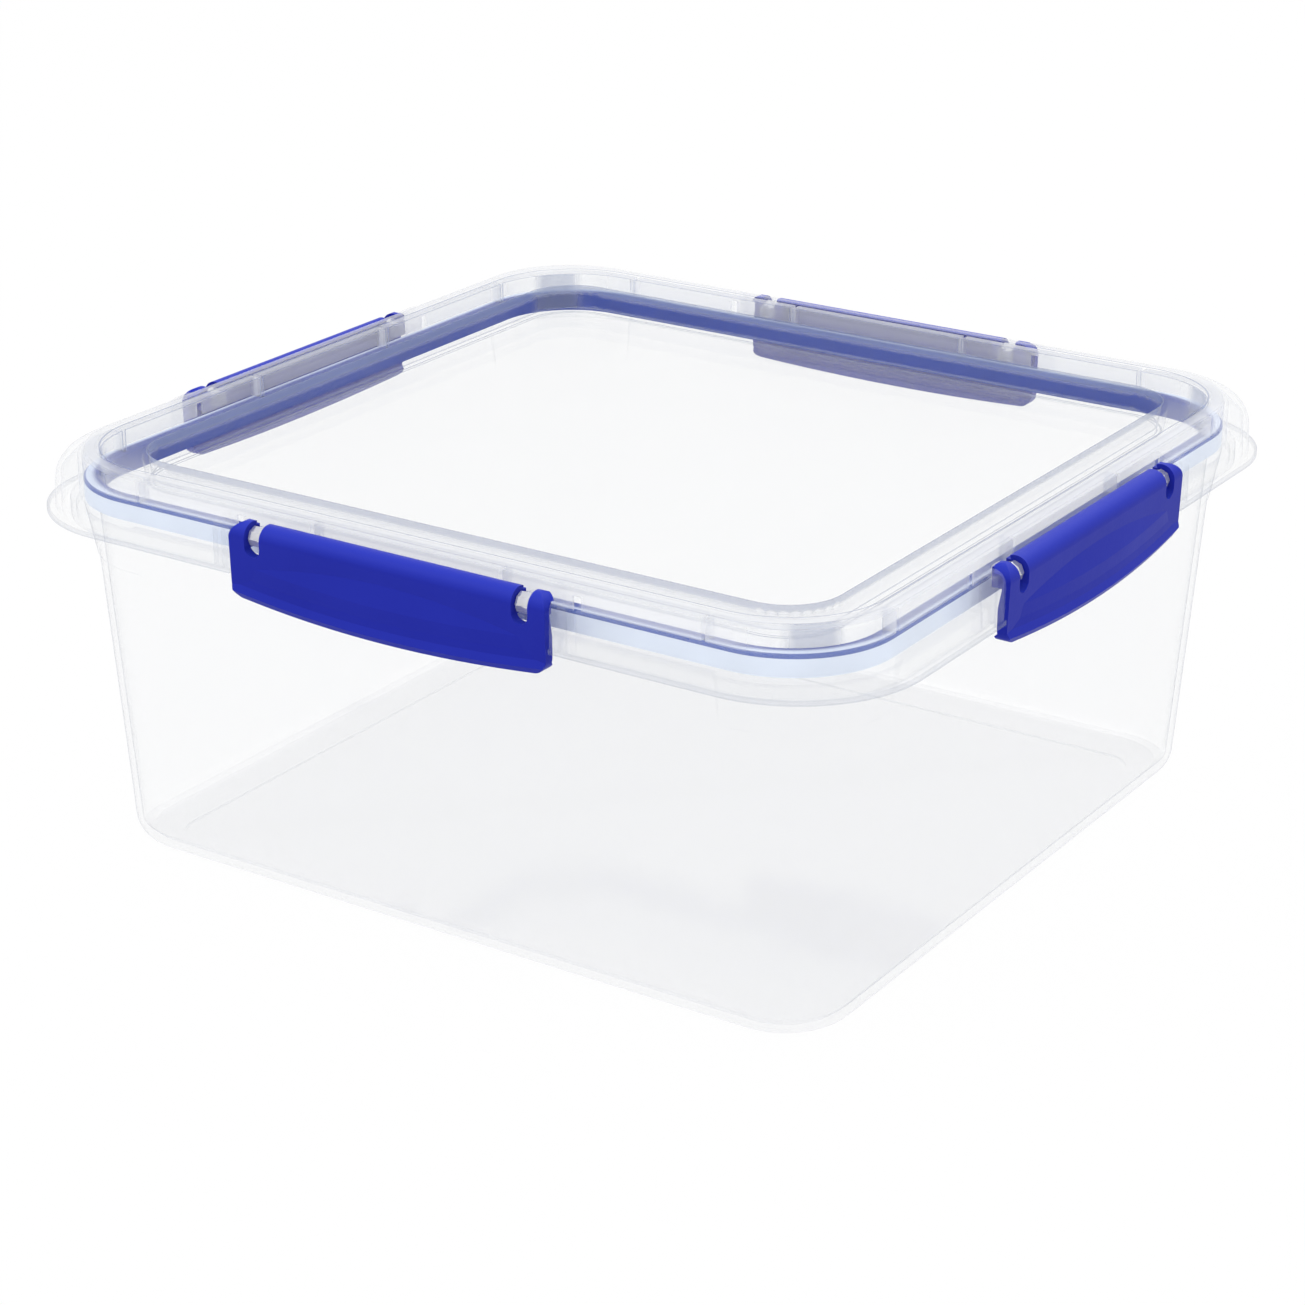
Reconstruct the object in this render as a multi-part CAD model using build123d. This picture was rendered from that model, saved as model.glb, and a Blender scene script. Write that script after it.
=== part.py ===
from build123d import *
from math import asin, cos, degrees, hypot, radians, sin, tan
import os

# A clear food storage box with a lid that four clips hold down.
# X is the long side, Y the short side, Z is up, and the origin is the middle of the underside.
# Sizes are in millimetres. Beside a side of the box, x is measured outward from the outline of the
# lid's lip, y along the side from its middle, and z from the table. An inset is the distance in from
# that outline, and one inset or one section serves all four sides.

# Plan of the lid's lip, the widest moulded outline
plan_x = 262.0
plan_y = 252.0
lip_corner = 35.0

# Tub: walls, floor and foot ring
rim_z = 100.5
tub_wall = 1.6
tub_floor = 1.8
wall_draft = 4.0
foot_fillet = 8.0
floor_chamfer = 3.6
mouth_inset = 10.6
mouth_corner = 27.5
foot_ring_width = 4.5
foot_ring_height = 0.7

# Tub: rim flange with its turned-down hem
flange_thickness = 1.6
flange_inset = 5.0
hem_thickness = 1.4
hem_drop = 4.5

# Tub: ledges that the clips catch under
ledge_end_gap = 3.5
ledge_height = 2.6
ledge_gap = 1.0
catch_gap = 0.15

# Tub: lugs at the corners that keep nested tubs apart
lug_height = 15.5
lug_stand_off = 2.3
lug_foot_step = 0.4
lug_overrun = 3.0

# Lid: skirt, lip and shoulder
lid_wall = 1.6
skirt_overlap = 2.9
lip_thickness = 1.2
skirt_inset = 2.2
skirt_draft = 3.0
shoulder_radius = 8.5
shoulder_chamfer = 4.0
rim_clearance = 0.6
rim_headroom = 0.8

# Lid: top of the rim, which falls from its crest to the brow round the sunken panel
crest_rise = 7.5
crest_inset = 12.6
brow_fall = 1.8
brow_inset = 25.1
brow_corner = 15.0
panel_drop = 6.8
panel_step = 0.9

# Seal and its groove
seal_height = 5.8
seal_width = 4.6
seal_inset = 9.2
seal_corner = 28.0
seal_side_gap = 0.1
seal_edge = 0.6
groove_rib = 1.2
stop_thickness = 1.2
stop_pitch = 58.0

# Clips: hinge
pin_x = -3.6
pin_drop = 6.0
pin_radius = 1.3
pin_gap = 0.08
pin_end_inset = 7.4
roll_radius = 3.9
roll_arc = 115.0
roll_gap = 0.4
web_thickness = 2.4
web_reach = 2.6
slot_width = 4.8
slot_drop = 4.3

# Clips: plate and hook
clip_length = 97.0
clip_wall = 2.0
clip_end_gap = 0.7
clip_corner = 4.0
clip_hang = 10.5
plate_x = -0.3
plate_back_x = -2.9
plate_back_drop = 6.8
hook_tip_x = -4.0
hook_tip_rise = 3.3
hook_tip_height = 0.8
hook_root_rise = 4.3
hook_heel_x = -1.6

# Clips: bowed face and flared lip
face_top_x = -0.2
face_top_drop = 1.6
face_x = 1.6
face_drop = 8.8
flare_height = 5.5
flare_x = 2.6
flare_bend = 0.25
lip_height = 1.6
lip_depth = 1.0
face_bow = 2.2
foot_bow = 2.0

# Clips: hollows in the back, between ribs
bay_count = 4
bay_rise = 6.4
bay_top_drop = 4.4
bay_end_wall = 2.0
rib_thickness = 1.2

# Lid: hinge lugs
lug_width = 4.0
lug_radius = 2.75
lug_arm = 3.4
lug_mouth = 2.2

# Lid: cheeks beside each clip
cheek_length = 5.2
cheek_x = -0.6
cheek_drop = 2.4
cheek_wall = 1.4
cheek_corner = 3.5

# A cutting block reaches this far past what it cuts
reach = 20.0

# The four sides, as angles about Z
clip_angles = {"right_clip": 0, "back_clip": 90, "left_clip": 180, "front_clip": 270}

# Heights that follow from the sizes above
skirt_foot_z = rim_z - skirt_overlap
seal_top_z = rim_z + seal_height
groove_foot_z = rim_z + rim_headroom
crest_z = seal_top_z + crest_rise
brow_z = crest_z - brow_fall
panel_z = brow_z - panel_drop
pin_z = crest_z - pin_drop
clip_foot_z = rim_z - clip_hang
flare_top_z = clip_foot_z + flare_height
flare_z = clip_foot_z + lip_height
hook_tip_z = clip_foot_z + hook_tip_rise
hook_root_z = clip_foot_z + hook_root_rise
ledge_underside_z = hook_tip_z + ledge_gap

# Places beside a side that follow from the sizes above
hem_bore_inset = flange_inset + hem_thickness
ledge_x = hook_tip_x - catch_gap
pocket_x = pin_x - roll_radius - roll_gap
groove_inset = -pocket_x
groove_width = 2 * groove_rib + 2 * seal_side_gap + seal_width
pocket_length = clip_length + 2 * clip_end_gap
pin_spacing = clip_length - 2 * pin_end_inset

# How far in from the outline the plan corners of each form have their centres
tub_centre = mouth_inset + mouth_corner
seal_centre = seal_inset + seal_corner
brow_centre = brow_inset + brow_corner


def block(low, high):
    """A plain block between two opposite corners."""
    size = [b - a for a, b in zip(low, high)]
    middle = [(a + b) / 2 for a, b in zip(low, high)]
    return Pos(*middle) * Box(*size)


def side_reach(angle):
    """Half the plan across the box, out to the side at this angle."""
    return plan_x / 2 if angle % 180 == 0 else plan_y / 2


def on_side(shape, angle):
    """A shape made beside the lip's outline, set on the side at this angle."""
    return Rot(0, 0, angle) * Pos(side_reach(angle), 0, 0) * shape


def both_ends(shape):
    """A shape beside a side's middle, with its mirror image past the middle."""
    return shape + mirror(shape, Plane.XZ)


def section(*points):
    """A side view through these points, from the outside looking along the side."""
    return Plane.XZ * make_face(Polyline(*points, close=True))


def carried(profile, centre):
    """A side view carried along the four sides and turned round the four corners."""
    pieces = []
    for angle in clip_angles.values():
        straight = side_reach(angle + 90) - centre
        turned = revolve(profile, Axis((-centre, 0, 0), (0, 0, 1)), 90)
        pieces.append(on_side(extrude(profile, straight, both=True), angle))
        pieces.append(on_side(Pos(0, straight, 0) * turned, angle))
    return pieces


def band(centre, outer, inner, low, high):
    """A straight-sided band between two insets."""
    pieces = carried(section((-outer, low), (-outer, high), (-inner, high), (-inner, low)), centre)
    return pieces[0].fuse(*pieces[1:]).clean()


def moulded(centre, *points):
    """A solid whose side view has these points, from its top round its outside to its foot."""
    top, foot = points[0][1], points[-1][1]
    x, y = side_reach(0) - centre, side_reach(90) - centre
    side_view = section((-centre, top), *points, (-centre, foot))
    return block((-x, -y, foot), (x, y, top)).fuse(*carried(side_view, centre)).clean()


def foot_edges(shape):
    return shape.faces().sort_by(Axis.Z)[0].edges()


def top_edges(shape):
    return shape.faces().sort_by(Axis.Z)[-1].edges()


def wall_inset(height):
    """The inset of the tub wall's outer face at a height."""
    return mouth_inset + (rim_z - height) * tan(radians(wall_draft))


def corner_lugs():
    """Bands round the four corners, proud of the wall at the top and nearly flush at the foot."""
    foot_z = rim_z - lug_height
    foot = wall_inset(foot_z) - lug_foot_step
    top = mouth_inset - lug_stand_off
    bands = moulded(tub_centre, (-top, rim_z), (-foot, foot_z))
    near_x = side_reach(0) - tub_centre - lug_overrun
    near_y = side_reach(90) - tub_centre - lug_overrun
    quarter = block((near_x, near_y, 0), (plan_x, plan_y, rim_z))
    corners = quarter + mirror(quarter, Plane.YZ)
    return bands & (corners + mirror(corners, Plane.XZ))


def catch_ledge():
    """The hem's deeper stretch behind a clip, with the ledge that the hook goes under."""
    half = clip_length / 2 - ledge_end_gap
    low = ledge_underside_z
    hem = block((-hem_bore_inset, -half, low), (-flange_inset, half, rim_z - hem_drop))
    return hem + block((-hem_bore_inset, -half, low), (ledge_x, half, low + ledge_height))


def tub():
    shell = moulded(tub_centre, (-mouth_inset, rim_z), (-wall_inset(0), 0))
    shell = fillet(foot_edges(shell), foot_fillet)
    shell += corner_lugs()
    flange_bore = mouth_inset + tub_wall
    shell += band(tub_centre, flange_inset, flange_bore, rim_z - flange_thickness, rim_z)
    shell += band(tub_centre, flange_inset, hem_bore_inset, rim_z - hem_drop, rim_z)
    for angle in clip_angles.values():
        shell += on_side(catch_ledge(), angle)

    floor_z = foot_ring_height + tub_floor
    bore = moulded(tub_centre, (-flange_bore, rim_z), (-wall_inset(floor_z) - tub_wall, floor_z))
    shell -= chamfer(foot_edges(bore), floor_chamfer)

    ring_bore = wall_inset(0) + foot_fillet + foot_ring_width
    return shell - moulded(tub_centre, (-ring_bore, foot_ring_height), (-ring_bore, 0))


def seal():
    body = band(seal_centre, seal_inset, seal_inset + seal_width, rim_z, seal_top_z)
    return chamfer(top_edges(body), seal_edge)


def seal_groove():
    """The two ribs that hold the seal, and the stops across the groove that it bears on."""
    outer, inner = groove_inset, groove_inset + groove_width
    ribs = band(seal_centre, outer, outer + groove_rib, groove_foot_z, crest_z)
    ribs += band(seal_centre, inner - groove_rib, inner, groove_foot_z, crest_z)
    for angle in clip_angles.values():
        count = int(2 * (side_reach(angle + 90) - seal_centre) / stop_pitch) + 1
        for n in range(count):
            y = (n - (count - 1) / 2) * stop_pitch
            ribs += on_side(block((-inner, y - stop_thickness / 2, seal_top_z),
                                  (-outer, y + stop_thickness / 2, crest_z)), angle)
    return ribs


def dome(wall):
    """The lid's outer form, or its hollow when set in by a wall."""
    top, foot = crest_z - wall, skirt_foot_z
    draft = (top - foot) * tan(radians(skirt_draft))
    form = moulded(lip_corner, (-skirt_inset - wall - draft, top), (-skirt_inset - wall, foot))
    if wall:
        return chamfer(top_edges(form), shoulder_chamfer)
    return fillet(top_edges(form), shoulder_radius)


def well(wall):
    """The sunken panel and the slope down to it, or their underside when set down by a wall."""
    brow, step = brow_inset - wall, brow_inset + panel_step - wall
    return moulded(brow_centre, (-crest_inset, crest_z + reach), (-crest_inset, crest_z - wall),
                   (-brow, brow_z - wall), (-step, panel_z - wall))


def pin_seat():
    """The side view of the seat that a clip's pin snaps up into, with a mouth too narrow for it."""
    radius = pin_radius + pin_gap
    left, right = (pin_x - radius, pin_z), (pin_x + radius, pin_z)
    foot_z = pin_z - lug_radius
    edge = ThreePointArc(left, (pin_x, pin_z + radius), right)
    edge += Polyline(right, (pin_x + lug_mouth / 2, foot_z), (pin_x - lug_mouth / 2, foot_z), left)
    return Plane.XZ * make_face(edge)


def hinge_lug():
    """A lug that snaps over a clip's pin, open underneath."""
    root_x = pocket_x - groove_rib / 2
    low, high = pin_z - lug_arm / 2, pin_z + lug_arm / 2
    arm = section((root_x, low), (root_x, high), (pin_x, high), (pin_x, low))
    nose = Plane.XZ * Pos(pin_x, pin_z) * RegularPolygon(lug_radius, 8)
    side_view = arm + nose - pin_seat()
    return Pos(0, pin_spacing / 2, 0) * extrude(side_view, lug_width / 2, both=True)


def cheek():
    """The block that closes the rim beside a clip, and its hollow."""
    low = pocket_length / 2
    high = low + cheek_length
    top = crest_z - cheek_drop
    solid = block((pocket_x, low, skirt_foot_z), (cheek_x, high, top))
    top_outer_edge = solid.edges().filter_by(Axis.Y).group_by(Axis.Z)[-1].sort_by(Axis.X)[-1]
    solid = fillet(top_outer_edge, cheek_corner)
    hollow = block((pocket_x - cheek_wall, low + cheek_wall, skirt_foot_z),
                   (cheek_x - cheek_wall, high - cheek_wall, top - cheek_wall))
    return solid, hollow


def lid():
    skin = dome(0)
    shell = skin - (dome(lid_wall) - well(lid_wall))
    shell += seal_groove() & skin
    shell -= well(0)
    shell += band(lip_corner, 0, skirt_inset + lid_wall / 2, skirt_foot_z, skirt_foot_z + lip_thickness)

    half = pocket_length / 2
    pocket = block((pocket_x, -half, skirt_foot_z - reach), (reach, half, crest_z + reach))
    end_wall = block((pocket_x, half, skirt_foot_z), (reach, half + cheek_wall, crest_z))
    cheek_solid, cheek_hollow = cheek()
    for angle in clip_angles.values():
        shell += on_side(both_ends(end_wall), angle) & skin
        shell += on_side(both_ends(cheek_solid), angle)
        shell -= on_side(both_ends(cheek_hollow), angle)
        shell -= on_side(pocket, angle)
        shell += on_side(both_ends(hinge_lug()), angle)
    clear = flange_inset - rim_clearance
    return shell - moulded(tub_centre, (-clear, groove_foot_z), (-clear, skirt_foot_z))


def on_roll(radius, angle):
    return (pin_x + radius * cos(radians(angle)), pin_z + radius * sin(radians(angle)))


def clip_plate():
    """The straight part of a clip's side view: rolled top, back plate and hook."""
    bore = roll_radius - clip_wall
    edge = Polyline(on_roll(bore, roll_arc), on_roll(roll_radius, roll_arc))
    edge += ThreePointArc(*[on_roll(roll_radius, roll_arc * part) for part in (1, 0.5, 0)])
    edge += Polyline(on_roll(roll_radius, 0), (plate_x, clip_foot_z), (hook_heel_x, clip_foot_z),
                     (hook_tip_x, hook_tip_z - hook_tip_height), (hook_tip_x, hook_tip_z),
                     (plate_back_x, hook_root_z), (plate_back_x, pin_z - plate_back_drop),
                     on_roll(bore, 0))
    edge += ThreePointArc(*[on_roll(bore, roll_arc * part) for part in (0, 0.5, 1)])
    return Plane.XZ * make_face(edge)


def clip_face():
    """The bowed part of a clip's side view: full face, flare and lip."""
    back = plate_x - clip_wall / 2
    bend_x = face_x + flare_bend * (flare_x - face_x)
    return section((back, pin_z - face_top_drop), (face_top_x, pin_z - face_top_drop),
                   (face_x, pin_z - face_drop), (face_x, flare_top_z),
                   (bend_x, (flare_top_z + flare_z) / 2), (flare_x, flare_z),
                   (flare_x - lip_depth, clip_foot_z), (back, clip_foot_z))


def bowed(profile):
    """A side view swung along the clip, in and up towards both ends."""
    half = clip_length / 2
    rise = hypot(face_bow, foot_bow)
    radius = (half ** 2 + rise ** 2) / (2 * rise)
    centre = (flare_x - radius * face_bow / rise, 0, flare_z + radius * foot_bow / rise)
    axis = Axis(centre, (foot_bow, 0, face_bow))
    swing = degrees(asin((half + clip_wall) / radius))
    return revolve(profile, axis, 2 * swing).rotate(axis, -swing)


def clip_front():
    """The front view of a clip: round corners and a bowed lower edge."""
    half = clip_length / 2
    top = pin_z + roll_radius
    left, right = (-half, clip_foot_z + foot_bow), (half, clip_foot_z + foot_bow)
    edge = ThreePointArc(left, (0, clip_foot_z), right)
    edge += Polyline(right, (half, top), (-half, top), left)
    face = make_face(edge)
    return Plane.YZ * fillet(face.vertices(), clip_corner)


def clip_hollows():
    """The bays in the back of a clip, each as deep as the bowed face allows."""
    half = clip_length / 2
    low, bend, high = clip_foot_z + bay_rise, pin_z - face_drop, pin_z - bay_top_drop
    pitch = 2 * (half - bay_end_wall) / bay_count
    bays = []
    for n in range(bay_count):
        y = (n - (bay_count - 1) / 2) * pitch
        front = face_x - clip_wall - face_bow * (y / half) ** 2
        side_view = section((-reach, low), (-reach, high), (front - clip_wall, high),
                            (front, bend), (front, low))
        bays.append(Pos(0, y, 0) * extrude(side_view, (pitch - rib_thickness) / 2, both=True))
    return bays


def clip():
    """A clip in the frame of its side, with its hinge pins."""
    half = clip_length / 2
    behind = plate_back_x + clip_wall / 4
    inside = pin_x + roll_radius - clip_wall / 2
    over = pin_z + roll_radius
    cover = section((behind, clip_foot_z), (behind, pin_z - plate_back_drop), (inside, pin_z),
                    (inside, over), (reach, over), (reach, clip_foot_z))
    body = extrude(clip_plate(), half, both=True)
    body += bowed(clip_face()) & extrude(cover, half, both=True)
    body &= extrude(clip_front(), reach, both=True)
    body -= clip_hollows()

    y = pin_spacing / 2
    web_half = slot_width / 2 + web_thickness
    web = block((pin_x - web_reach, y - web_half, pin_z - web_reach),
                (inside, y + web_half, pin_z + web_reach))
    slot_radius = slot_width / 2
    slot_foot_z = pin_z - slot_drop + slot_radius
    slot = block((-reach, y - slot_radius, slot_foot_z), (reach, y + slot_radius, crest_z))
    slot += Location((0, y, slot_foot_z), (0, 90, 0)) * Cylinder(slot_radius, 2 * reach)
    across = Location((pin_x, y, pin_z), (90, 0, 0))
    pin = across * Cylinder(pin_radius, slot_width + web_thickness)
    return body + both_ends(web) - both_ends(slot) + both_ends(pin)


os.makedirs("parts", exist_ok=True)
export_step(tub(), "parts/tub.step")
export_step(lid(), "parts/lid.step")
export_step(seal(), "parts/lid_seal.step")
side_clip = clip()
for name, angle in clip_angles.items():
    export_step(on_side(side_clip, angle), f"parts/{name}.step")
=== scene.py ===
import bpy
from math import cos, radians, sin
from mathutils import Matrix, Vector


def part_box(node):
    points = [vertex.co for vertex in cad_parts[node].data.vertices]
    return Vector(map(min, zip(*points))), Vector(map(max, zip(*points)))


# The looks of a clear food storage box: clear plastic, a soft blue seal and four blue clips.
# Everything is in metres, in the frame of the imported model.

# The camera, solved from the edges of the box
view_azimuth = 33.5
view_elevation = 22.1
view_distance = 0.922
view_target = (0.0, -0.0067, 0.0467)
lens_mm = 91.4
sensor_mm = 36.0

# How many clear faces a ray passes through, and how many times soft light bounces
clear_faces_passed = 40
soft_bounces = 8

# The floor, and how bright the surroundings are as light and as background
floor_size = 30.0
floor_height = -0.0005
floor_whiteness = 0.90
floor_glow = 0.97
surround_light = 1.0
background_white = 1.0

# Lamps: place, size and power
key_lamp = ((-0.55, -0.75, 1.15), 0.9, 3.0)
side_lamp = ((1.1, -0.1, 0.7), 0.7, 0.8)
back_lamp = ((0.1, 0.95, 0.95), 0.9, 2.0)

# Colours, as linear red, green and blue; the tint is what one clear face does to what shows through
white = (1.0, 1.0, 1.0)
clear_face = (0.96, 0.97, 0.99)
# Painted grey for the clear plastic's edges, in place of the darker surroundings bent into view
# there
clear_painted_edge_grey = (0.24, 0.30, 0.47)
# Painted grey for lines along the lid's edges, in place of the light that thick plastic bends there
clear_painted_line_grey = (0.34, 0.40, 0.58)
clear_floor = (0.94, 0.95, 1.0)
clear_tint = (0.998, 0.999, 1.0)
clip_blue = (0.011, 0.017, 0.29)
clip_blue_light = (0.015, 0.024, 0.35)
# The clips' painted highlight, on the faces that lean up
clip_painted_highlight_blue = (0.026, 0.042, 0.48)
seal_inner_blue = (0.010, 0.045, 0.34)
# Painted pale light on the seal's outer faces and its top, as if lit through the lid's milky skirt
seal_outer_painted_pale = (0.77, 0.84, 0.96)
seal_top_painted_pale = (0.70, 0.78, 0.94)
seal_line_blue = (0.03, 0.09, 0.42)

# How much of a clear face is haze, seen square on and edge on, and how late one turns to the other
tub_haze = (0.03, 0.75)
lid_haze = (0.008, 0.75)
haze_power = 8.0

# How much of the face is haze where the plastic is thick, or where a grey line is painted along an
# edge in place of the light real plastic bends there
floor_haze = 0.13
skirt_haze = 0.045
crest_haze = 0.42
rim_painted_line_haze = 0.55
lip_painted_line_haze = 0.17
lug_haze = 0.45

# How much of the haze is lit from behind, and not from in front
haze_lit_through = 0.5

# How much a clear face mirrors, seen square on and edge on, how late one turns to the other, and
# how much a hinge lug mirrors
clear_mirror = (0.015, 0.35)
mirror_power = 5.0
lug_mirror = 0.4

# The balance of Layer Weight at which its facing output is a plain measure of the angle
facing_blend = 0.5

# Specular levels, and ranges of roughness with how many patches of it there are to a metre
clip_specular = 0.055
seal_specular = 0.3
clear_gloss = 0.07
clear_roughness, clear_grain = (0.16, 0.28), 120.0
clip_roughness, clip_grain = (0.30, 0.40), 160.0
seal_roughness, seal_grain = (0.45, 0.60), 200.0

# Ripples of a moulded surface: how many to a metre, how high and how strong
clear_ripple = (60.0, 0.0004, 0.25)
clip_ripple = (900.0, 0.00006, 0.35)
seal_ripple = (400.0, 0.0001, 0.3)

# Clouds in the haze and the blues: how many to a metre, and how much they thin and thicken the
# haze, or darken and lighten the seal
clear_clouds, clear_cloud_range = 45.0, (0.85, 1.15)
seal_clouds, seal_cloud_range = 60.0, (0.9, 1.1)
clip_clouds = 30.0

# How far a clip's face leans up from where its painted highlight starts to where it is strongest
clip_highlight_lean = (0.15, 0.95)

# How far a face of the seal leans up to count as its top
top_lean = 0.9

# The tub's floor is thicker haze up to this height
floor_top = 0.0031

# Height of the dark line along the seal's outer upper edge
seal_line_height = 0.0011

# Half the plan of the lid's lip
half_x, half_y = 0.131, 0.126

# Rings round the box, each an inset from the lip, a corner radius and a width: the edge of the
# lid's lip, its skirt, the edges of its rim, its thick crest over the outer half of the seal, and
# the inner half of the seal's top, which keeps the seal's own blue where the rest is painted pale
lip_edge = (0.0002, 0.0350, 0.0014)
skirt_zone = (0.0045, 0.0320, 0.0120)
rim_lines = ((0.0126, 0.0275, 0.0007), (0.0251, 0.0150, 0.0009), (0.0262, 0.0141, 0.0006))
milky_crest = (0.0102, 0.0297, 0.0046)
seal_top_inner = (0.0128, 0.0275, 0.0056)

# The hinge lugs: how far in, how far along a side from its middle, and half their width
lug_inset = 0.0079
lug_along = 0.0411
lug_half_width = 0.0022


def linked(tree, kind, settings=None, **inputs):
    """A new node: its settings, then its inputs, each a value or another node's output.

    An input is given by its name, with _ for each space, or by its number, such as _0."""
    made = tree.nodes.new(kind)
    for name, value in (settings or {}).items():
        setattr(made, name, value)
    for name, value in inputs.items():
        socket = made.inputs[int(name[1:]) if name[0] == "_" else name.replace("_", " ")]
        if isinstance(value, bpy.types.NodeSocket):
            tree.links.new(value, socket)
        else:
            socket.default_value = value
    return made


def new_material(name):
    """An empty node material, and its tree."""
    material = bpy.data.materials.new(name)
    material.use_nodes = True
    material.node_tree.nodes.clear()
    return material, material.node_tree


def finish_material(tree, shader):
    """Sends a shader to the material's surface."""
    output = tree.nodes.new("ShaderNodeOutputMaterial")
    tree.links.new(shader, output.inputs["Surface"])


def maths(tree, operation, *values):
    """What an operation makes of its values, each a number or a node's output."""
    inputs = {f"_{place}": value for place, value in enumerate(values)}
    return linked(tree, "ShaderNodeMath", {"operation": operation}, **inputs).outputs[0]


def between(tree, value, low, high):
    """A value from 0 to 1 spread between two numbers."""
    return linked(tree, "ShaderNodeMapRange", Value=value, To_Min=low, To_Max=high).outputs[0]


def ramp(tree, value, start, end):
    """0 up to one number, 1 from another, and even between them."""
    return linked(tree, "ShaderNodeMapRange", Value=value, From_Min=start, From_Max=end).outputs[0]


def rgba(colour):
    """A colour with full alpha."""
    return (*colour, 1.0)


def mixed(tree, share, under, over):
    """One colour over another, each three numbers or a node's output."""
    sides = [side if isinstance(side, bpy.types.NodeSocket) else rgba(side)
             for side in (under, over)]
    return linked(tree, "ShaderNodeMix", {"data_type": "RGBA"},
                  _0=share, _6=sides[0], _7=sides[1]).outputs[2]


def object_place(tree):
    """Where a point is in the CAD frame with the box at rest, also when its piece moves."""
    return tree.nodes.new("ShaderNodeTexCoord").outputs["Object"]


def object_normal(tree):
    """Which way a face looks in that frame."""
    return tree.nodes.new("ShaderNodeTexCoord").outputs["Normal"]


def separate(tree, vector):
    """A vector's three parts."""
    parts = linked(tree, "ShaderNodeSeparateXYZ", Vector=vector)
    return parts.outputs["X"], parts.outputs["Y"], parts.outputs["Z"]


def noise(tree, scale):
    """Cloudy noise in the object's own space, from 0 to 1."""
    return linked(tree, "ShaderNodeTexNoise", Vector=object_place(tree), Scale=scale).outputs["Fac"]


def ripples(tree, scale, height, strength):
    """A faint unevenness of a moulded surface, as a normal."""
    return linked(tree, "ShaderNodeBump", Strength=strength, Distance=height,
                  Height=noise(tree, scale)).outputs["Normal"]


def from_middle(tree):
    """How far a point is from the middle of the box, along X and along Y."""
    x, y, _ = separate(tree, object_place(tree))
    return maths(tree, "ABSOLUTE", x), maths(tree, "ABSOLUTE", y)


def ring_line(tree, inset, corner, width):
    """1 on a line that runs round the box at an inset, with round corners.

    Its middle half is even, and it fades to 0 over a quarter of its width on each side."""
    x, y = from_middle(tree)
    past_x = maths(tree, "MAXIMUM", maths(tree, "SUBTRACT", x, half_x - inset - corner), 0.0)
    past_y = maths(tree, "MAXIMUM", maths(tree, "SUBTRACT", y, half_y - inset - corner), 0.0)
    squares = [maths(tree, "POWER", past, 2.0) for past in (past_x, past_y)]
    off = maths(tree, "SUBTRACT", maths(tree, "SQRT", maths(tree, "ADD", *squares)), corner)
    return ramp(tree, maths(tree, "ABSOLUTE", off), width / 2, width / 4)


def above(tree, height):
    """1 above a height, 0 below it."""
    return maths(tree, "GREATER_THAN", separate(tree, object_place(tree))[2], height)


def tub_floor(tree):
    """1 on the tub's floor."""
    return maths(tree, "SUBTRACT", 1.0, above(tree, floor_top))


def skirt(tree):
    """1 on the lid's skirt, outside the seal."""
    return ring_line(tree, *skirt_zone)


def crest(tree):
    """1 on the thick crest of the lid's rim, above the seal."""
    return maths(tree, "MULTIPLY", above(tree, seal_top), ring_line(tree, *milky_crest))


def lip(tree):
    """1 on the edge of the lid's lip."""
    return ring_line(tree, *lip_edge)


def rim_edges(tree):
    """1 on the edges round the lid's rim."""
    total = 0.0
    for line in rim_lines:
        total = maths(tree, "MAXIMUM", total, ring_line(tree, *line))
    return total


def hinge_lugs(tree):
    """1 on the lid's hinge lugs."""
    x, y = from_middle(tree)
    found = 0.0
    for across, along, half in ((x, y, half_x), (y, x, half_y)):
        outside = maths(tree, "GREATER_THAN", across, half - lug_inset)
        beside = maths(tree, "COMPARE", along, lug_along, lug_half_width)
        found = maths(tree, "MAXIMUM", found, maths(tree, "MULTIPLY", outside, beside))
    return found


def faces_out(tree):
    """1 on the outward faces of a ring round the box, 0 on its inward faces."""
    flat = linked(tree, "ShaderNodeVectorMath", {"operation": "MULTIPLY"}, _0=object_place(tree),
                  _1=(1.0, 1.0, 0.0)).outputs[0]
    lean = linked(tree, "ShaderNodeVectorMath", {"operation": "DOT_PRODUCT"}, _0=flat,
                  _1=object_normal(tree))
    return maths(tree, "GREATER_THAN", lean.outputs["Value"], 0.0)


def faces_up(tree):
    """1 on level faces, 0 on upright ones."""
    return maths(tree, "GREATER_THAN", separate(tree, object_normal(tree))[2], top_lean)


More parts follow.
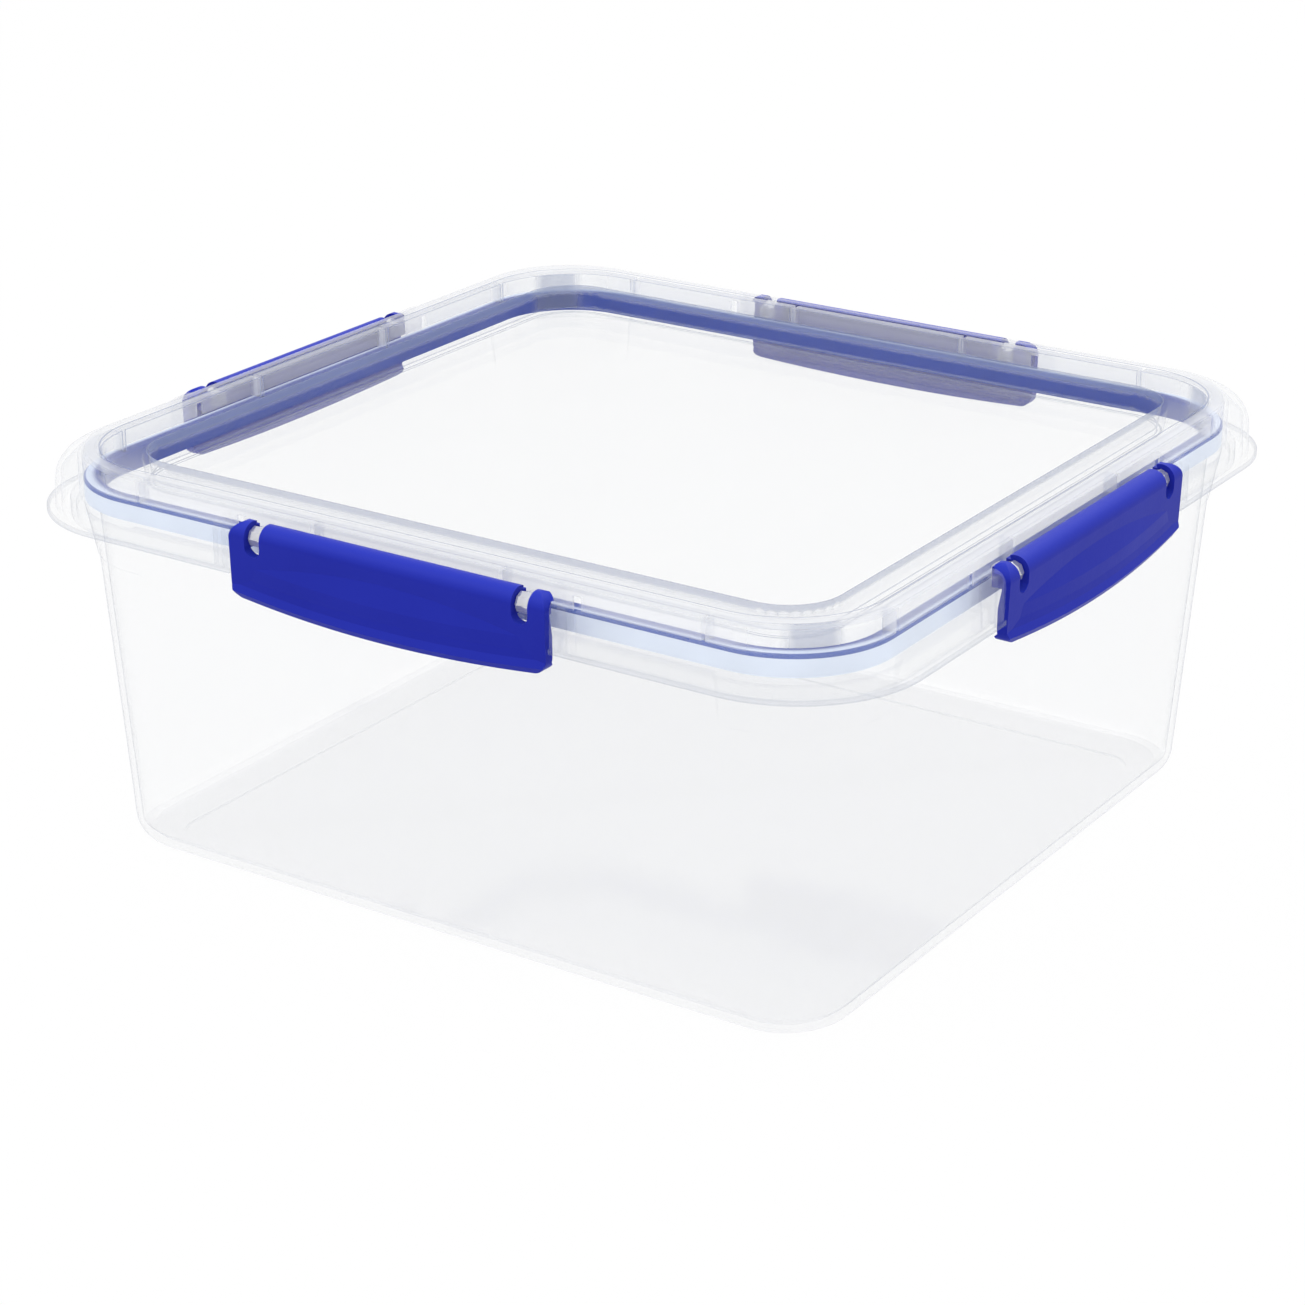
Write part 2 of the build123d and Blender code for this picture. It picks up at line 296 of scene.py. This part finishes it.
def clear_plastic(name, haze, patches, mirror_patch=None):
    """Clear moulded plastic: see-through, a little milky, and painted greyer towards its edges in
    place of the darker surroundings that real plastic bends into view there.

    Each patch is a mask with how much haze and which colour it has. The mirror patch is a mask of
    what mirrors as a hinge lug does."""
    material, tree = new_material(name)
    facing = linked(tree, "ShaderNodeLayerWeight", Blend=facing_blend).outputs["Facing"]
    edge = maths(tree, "POWER", facing, haze_power)
    clouds = between(tree, noise(tree, clear_clouds), *clear_cloud_range)
    opacity = maths(tree, "MULTIPLY", between(tree, edge, *haze), clouds)
    # Painted grey towards the edges, in place of the darker surroundings that real plastic bends
    # into view
    colour = mixed(tree, edge, clear_face, clear_painted_edge_grey)
    for mask, patch_haze, patch_colour in patches:
        where = mask(tree)
        opacity = maths(tree, "MAXIMUM", opacity, maths(tree, "MULTIPLY", where, patch_haze))
        colour = mixed(tree, where, colour, patch_colour)
    normal = ripples(tree, *clear_ripple)
    roughness = between(tree, noise(tree, clear_grain), *clear_roughness)
    body = linked(tree, "ShaderNodeBsdfPrincipled", Base_Color=colour, Roughness=roughness,
                  Normal=normal)
    through = linked(tree, "ShaderNodeBsdfTranslucent", Color=colour)
    milk = linked(tree, "ShaderNodeMixShader", _0=haze_lit_through,
                  _1=body.outputs[0], _2=through.outputs[0])
    clear = linked(tree, "ShaderNodeBsdfTransparent", Color=rgba(clear_tint))
    wall = linked(tree, "ShaderNodeMixShader", _0=opacity, _1=clear.outputs[0], _2=milk.outputs[0])
    gloss = linked(tree, "ShaderNodeBsdfGlossy", Color=rgba(white), Roughness=clear_gloss,
                   Normal=normal)
    mirror = between(tree, maths(tree, "POWER", facing, mirror_power), *clear_mirror)
    if mirror_patch:
        bright = maths(tree, "MULTIPLY", mirror_patch(tree), lug_mirror)
        mirror = maths(tree, "MAXIMUM", mirror, bright)
    shine = linked(tree, "ShaderNodeMixShader", _0=mirror, _1=wall.outputs[0], _2=gloss.outputs[0])
    finish_material(tree, shine.outputs[0])
    return material


def satin_skin(name, colour_of, specular, roughness, grain, ripple):
    """A solid-coloured moulded skin: its colour, its patches of roughness and its fine ripples."""
    material, tree = new_material(name)
    skin = linked(tree, "ShaderNodeBsdfPrincipled", Base_Color=colour_of(tree),
                  Roughness=between(tree, noise(tree, grain), *roughness),
                  Normal=ripples(tree, *ripple))
    skin.inputs["Specular IOR Level"].default_value = specular
    finish_material(tree, skin.outputs[0])
    return material


def clip_colour(tree):
    """Blue, with a painted highlight on the faces that lean up."""
    painted_highlight = ramp(tree, separate(tree, object_normal(tree))[2], *clip_highlight_lean)
    cloudy = mixed(tree, noise(tree, clip_clouds), clip_blue, clip_blue_light)
    return mixed(tree, painted_highlight, cloudy, clip_painted_highlight_blue)


def seal_colour(tree):
    """Blue, with painted pale light on the outer faces and the outer part of the top, and a dark
    line along the outer upper edge.
    """
    outside = mixed(tree, above(tree, seal_top - seal_line_height), seal_outer_painted_pale, seal_line_blue)
    sides = mixed(tree, faces_out(tree), seal_inner_blue, outside)
    upper = mixed(tree, ring_line(tree, *seal_top_inner), seal_top_painted_pale, seal_inner_blue)
    clouds = between(tree, noise(tree, seal_clouds), *seal_cloud_range)
    return linked(tree, "ShaderNodeHueSaturation", Color=mixed(tree, faces_up(tree), sides, upper),
                  Value=clouds).outputs[0]


def seen_ray(tree):
    """1 for a ray that shows the background: from the camera, off gloss or through glass."""
    path = tree.nodes.new("ShaderNodeLightPath")
    seen = maths(tree, "MAXIMUM", path.outputs["Is Camera Ray"], path.outputs["Is Glossy Ray"])
    return maths(tree, "MAXIMUM", seen, path.outputs["Is Transmission Ray"])


def floor():
    """A wide white floor that keeps a faint shadow."""
    bpy.ops.mesh.primitive_plane_add(size=floor_size, location=(0, 0, floor_height))
    plane = bpy.context.object
    plane.name = "floor"
    material, tree = new_material("floor_white")
    paper = linked(tree, "ShaderNodeBsdfDiffuse", Color=rgba((floor_whiteness,) * 3))
    glow = linked(tree, "ShaderNodeEmission", Color=rgba(white), Strength=background_white)
    share = maths(tree, "MULTIPLY", seen_ray(tree), floor_glow)
    mix = linked(tree, "ShaderNodeMixShader", _0=share, _1=paper.outputs[0], _2=glow.outputs[0])
    finish_material(tree, mix.outputs[0])
    plane.data.materials.append(material)


def surroundings():
    """Plain soft light from all round, seen as white."""
    world = bpy.data.worlds.new("studio")
    bpy.context.scene.world = world
    world.use_nodes = True
    tree = world.node_tree
    tree.nodes.clear()
    strength = between(tree, seen_ray(tree), surround_light, background_white)
    light = linked(tree, "ShaderNodeBackground", Color=rgba(white), Strength=strength)
    output = tree.nodes.new("ShaderNodeOutputWorld")
    tree.links.new(light.outputs[0], output.inputs["Surface"])


def lamp(name, place, size, power):
    """A soft square lamp that looks at the box."""
    light = bpy.data.lights.new(name, "AREA")
    light.size = size
    light.energy = power
    holder = bpy.data.objects.new(name, light)
    holder.location = place
    towards_box = Vector(view_target) - Vector(place)
    holder.rotation_euler = towards_box.to_track_quat("-Z", "Y").to_euler()
    bpy.context.scene.collection.objects.link(holder)


def camera():
    """The camera, at the photograph's angle."""
    azimuth, elevation = radians(view_azimuth), radians(view_elevation)
    away = Vector((sin(azimuth) * cos(elevation), -cos(azimuth) * cos(elevation), sin(elevation)))
    data = bpy.data.cameras.new("camera")
    data.lens = lens_mm
    data.sensor_width = sensor_mm
    holder = bpy.data.objects.new("camera", data)
    holder.location = Vector(view_target) + view_distance * away
    holder.rotation_euler = (-away).to_track_quat("-Z", "Y").to_euler()
    bpy.context.scene.collection.objects.link(holder)
    bpy.context.scene.camera = holder


def dress(names, material):
    """Gives CAD nodes their material."""
    for name in names:
        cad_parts[name].data.materials.clear()
        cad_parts[name].data.materials.append(material)


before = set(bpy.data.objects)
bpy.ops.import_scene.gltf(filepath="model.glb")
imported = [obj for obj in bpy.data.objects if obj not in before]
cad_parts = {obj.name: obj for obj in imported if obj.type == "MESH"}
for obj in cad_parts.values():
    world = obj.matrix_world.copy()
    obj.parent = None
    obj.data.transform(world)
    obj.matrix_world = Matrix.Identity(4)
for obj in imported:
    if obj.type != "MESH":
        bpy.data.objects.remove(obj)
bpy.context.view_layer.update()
seal_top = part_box("lid_seal")[1].z

bpy.context.scene.view_settings.view_transform = "Standard"
bpy.context.scene.cycles.transparent_max_bounces = clear_faces_passed
bpy.context.scene.cycles.diffuse_bounces = soft_bounces

tub_patches = [(tub_floor, floor_haze, clear_floor)]
# The rim's edges and the lip's edge get painted grey lines, in place of light bent at the plastic's
# corners
lid_patches = [(skirt, skirt_haze, clear_face), (crest, crest_haze, clear_face),
               (hinge_lugs, lug_haze, clear_face), (rim_edges, rim_painted_line_haze, clear_painted_line_grey),
               (lip, lip_painted_line_haze, clear_painted_line_grey)]
dress(["tub"], clear_plastic("tub_plastic", tub_haze, tub_patches))
dress(["lid"], clear_plastic("lid_plastic", lid_haze, lid_patches, hinge_lugs))
dress(["lid_seal"], satin_skin("seal_rubber", seal_colour, seal_specular, seal_roughness,
                               seal_grain, seal_ripple))
dress(["right_clip", "back_clip", "left_clip", "front_clip"],
      satin_skin("clip_plastic", clip_colour, clip_specular, clip_roughness, clip_grain,
                 clip_ripple))

floor()
surroundings()
lamp("key_lamp", *key_lamp)
lamp("side_lamp", *side_lamp)
lamp("back_lamp", *back_lamp)
camera()
